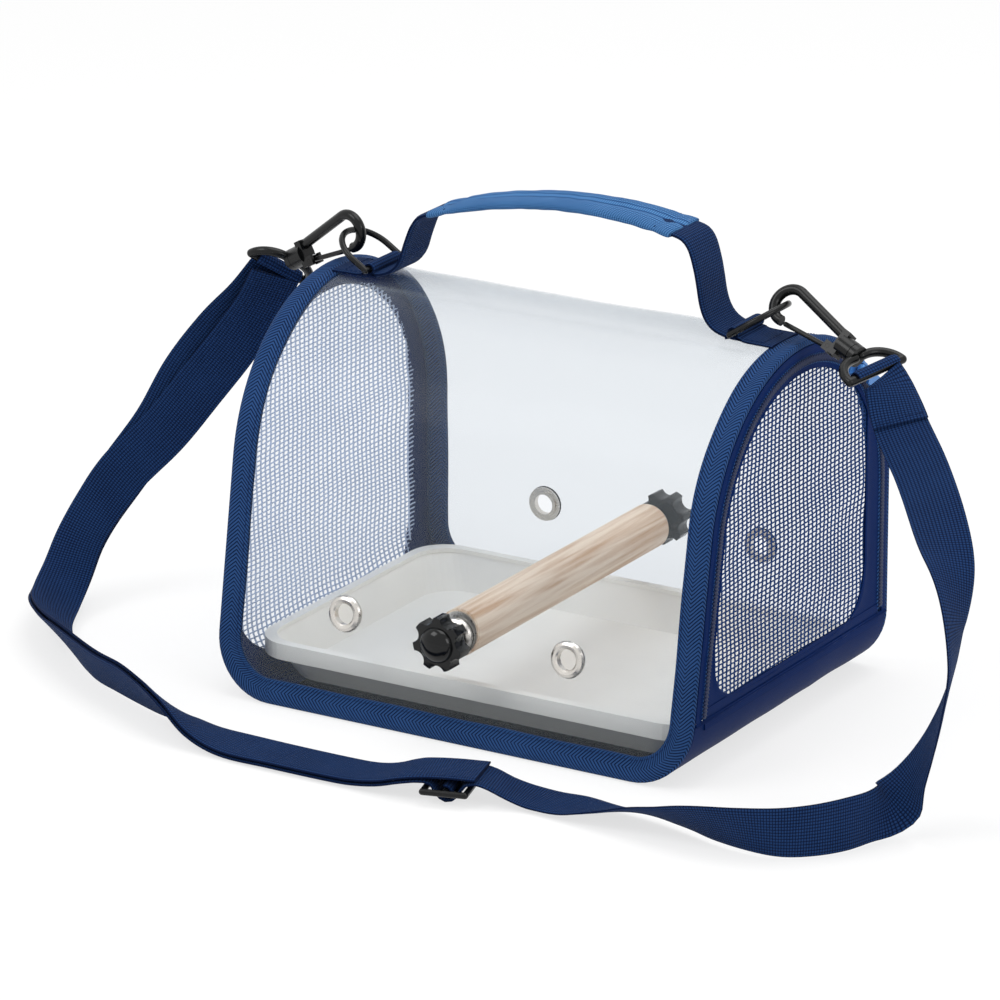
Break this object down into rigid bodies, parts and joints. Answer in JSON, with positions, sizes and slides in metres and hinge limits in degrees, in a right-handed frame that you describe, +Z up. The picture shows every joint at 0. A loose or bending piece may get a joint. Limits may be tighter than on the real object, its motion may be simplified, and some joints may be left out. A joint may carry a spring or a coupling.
{
  "type": "bird travel carrier",
  "caption": "Soft clear travel carrier for a small bird, with an arched top, fabric edges, mesh ends, zipped end door, tray, perch, padded handle and shoulder strap.",
  "frame": {"origin": "on the floor at the underside of the base, midway between the two ends and midway between the front foot and the rear face", "axes": "+X towards the zipped mesh door, -Y towards the front with the strap's adjuster, +Z up"},
  "size_m": [0.5409, 0.2823, 0.2385],
  "materials": {
    "vinyl": "clear soft vinyl sheet, glossy",
    "edge_tape": "navy twill binding tape",
    "gusset_cloth": "navy woven nylon",
    "webbing": "navy ribbed nylon webbing",
    "grip_cloth": "mid blue woven cloth, sewn",
    "mesh": "open polyester mesh",
    "zip_coil": "navy nylon zip coil",
    "slider_paint": "blue painted zinc",
    "board": "stiff grey board",
    "tray_plastic": "warm light grey moulded plastic, satin",
    "nickel": "bright nickel plate",
    "hoop_steel": "spring steel wire",
    "stud_steel": "plated steel",
    "insert_brass": "threaded brass insert",
    "perch_wood": "pale turned wood, oiled",
    "knob_plastic": "black moulded plastic, glossy",
    "hook_plastic": "black moulded acetal, satin",
    "leaf_steel": "spring steel leaf"
  },
  "bodies": {
    "bag": {"clear_sheet": "vinyl", "binding_left": "edge_tape", "binding_right": "edge_tape", "binding_front": "edge_tape", "binding_rear": "edge_tape", "hoop_wire_left": "hoop_steel", "hoop_wire_right": "hoop_steel", "base_panel": "gusset_cloth", "base_board": "board", "left_end_panel": "gusset_cloth", "left_mesh": "mesh", "right_end_frame": "gusset_cloth", "zip_coil_fixed": "zip_coil", "tray": "tray_plastic", "front_eyelets": "nickel", "rear_eyelets": "nickel", "front_eyelet_washers": "nickel", "rear_eyelet_washers": "nickel", "perch": "perch_wood", "perch_inserts": "insert_brass", "perch_washers": "nickel", "left_ring_tab": "webbing", "right_ring_tab": "webbing", "left_hook_eye": "hook_plastic", "right_hook_eye": "hook_plastic", "strap_main": "webbing", "strap_return": "webbing", "strap_loop_left": "webbing", "strap_loop_right": "webbing", "strap_adjuster": "hook_plastic", "adjuster_loop": "webbing", "handle_feet": "webbing"},
    "door": {"door_panel": "gusset_cloth", "door_mesh": "mesh", "zip_coil_door": "zip_coil"},
    "slider": {"zip_slider": "slider_paint"},
    "pull": {"zip_pull": "slider_paint"},
    "handle": {"handle_webbing": "webbing", "handle_grip": "grip_cloth"},
    "front_screw": {"front_knob": "knob_plastic", "front_knob_stud": "stud_steel"},
    "rear_screw": {"rear_knob": "knob_plastic", "rear_knob_stud": "stud_steel"},
    "left_ring": {"left_d_ring": "hook_plastic"},
    "right_ring": {"right_d_ring": "hook_plastic"},
    "left_hook": {"left_hook_body": "hook_plastic", "left_gate_spring": "leaf_steel"},
    "left_gate": {"left_hook_gate": "hook_plastic"},
    "right_hook": {"right_hook_body": "hook_plastic", "right_gate_spring": "leaf_steel"},
    "right_gate": {"right_hook_gate": "hook_plastic"}
  },
  "joints": [
    {"name": "door_fold", "type": "hinge", "parent": "bag", "child": "door", "pos_m": [0.1274, 0, 0.031], "axis": [0, 1, 0], "range_deg": [0, 90]},
    {"name": "zip_slide", "type": "hinge", "parent": "door", "child": "slider", "pos_m": [0.1297, 0.009, 0.098], "axis": [1, 0, 0], "range_deg": [-50, 112]},
    {"name": "pull_lift", "type": "hinge", "parent": "slider", "child": "pull", "pos_m": [0.1337, 0.05485, 0.1611], "axis": [0, -0.5878, -0.809], "range_deg": [0, 60]},
    {"name": "handle_fold", "type": "hinge", "parent": "bag", "child": "handle", "pos_m": [0, 0.009, 0.2], "axis": [1, 0, 0], "range_deg": [-90, 90]},
    {"name": "front_knob_turn", "type": "hinge", "parent": "bag", "child": "front_screw", "pos_m": [0, -0.09, 0.05], "axis": [0, -1, 0], "continuous": true},
    {"name": "rear_knob_turn", "type": "hinge", "parent": "bag", "child": "rear_screw", "pos_m": [0, 0.098, 0.05], "axis": [0, 1, 0], "continuous": true},
    {"name": "left_ring_swing", "type": "hinge", "parent": "bag", "child": "left_ring", "pos_m": [-0.098, 0.009, 0.18848], "axis": [0, 1, 0], "range_deg": [-8, 1.5]},
    {"name": "right_ring_swing", "type": "hinge", "parent": "bag", "child": "right_ring", "pos_m": [0.098, 0.009, 0.18848], "axis": [0, 1, 0], "range_deg": [-1.5, 8]},
    {"name": "left_hook_swivel", "type": "hinge", "parent": "bag", "child": "left_hook", "pos_m": [-0.11865, 0.012, 0.20023], "axis": [-0.8425, 0.2207, -0.4915], "range_deg": [-15, 15]},
    {"name": "left_gate_hinge", "type": "hinge", "parent": "left_hook", "child": "left_gate", "pos_m": [-0.14297, 0.01852, 0.18074], "axis": [-0.2382, -0.9708, -0.0276], "range_deg": [0, 15], "stiffness_Nm_per_rad": 0.02},
    {"name": "right_hook_swivel", "type": "hinge", "parent": "bag", "child": "right_hook", "pos_m": [0.11811, 0.01403, 0.20009], "axis": [0.9113, -0.2704, -0.3105], "range_deg": [-15, 15]},
    {"name": "right_gate_hinge", "type": "hinge", "parent": "right_hook", "child": "right_gate", "pos_m": [0.14492, 0.00298, 0.18697], "axis": [0.0253, 0.7894, -0.6133], "range_deg": [0, 15], "stiffness_Nm_per_rad": 0.02}
  ]
}
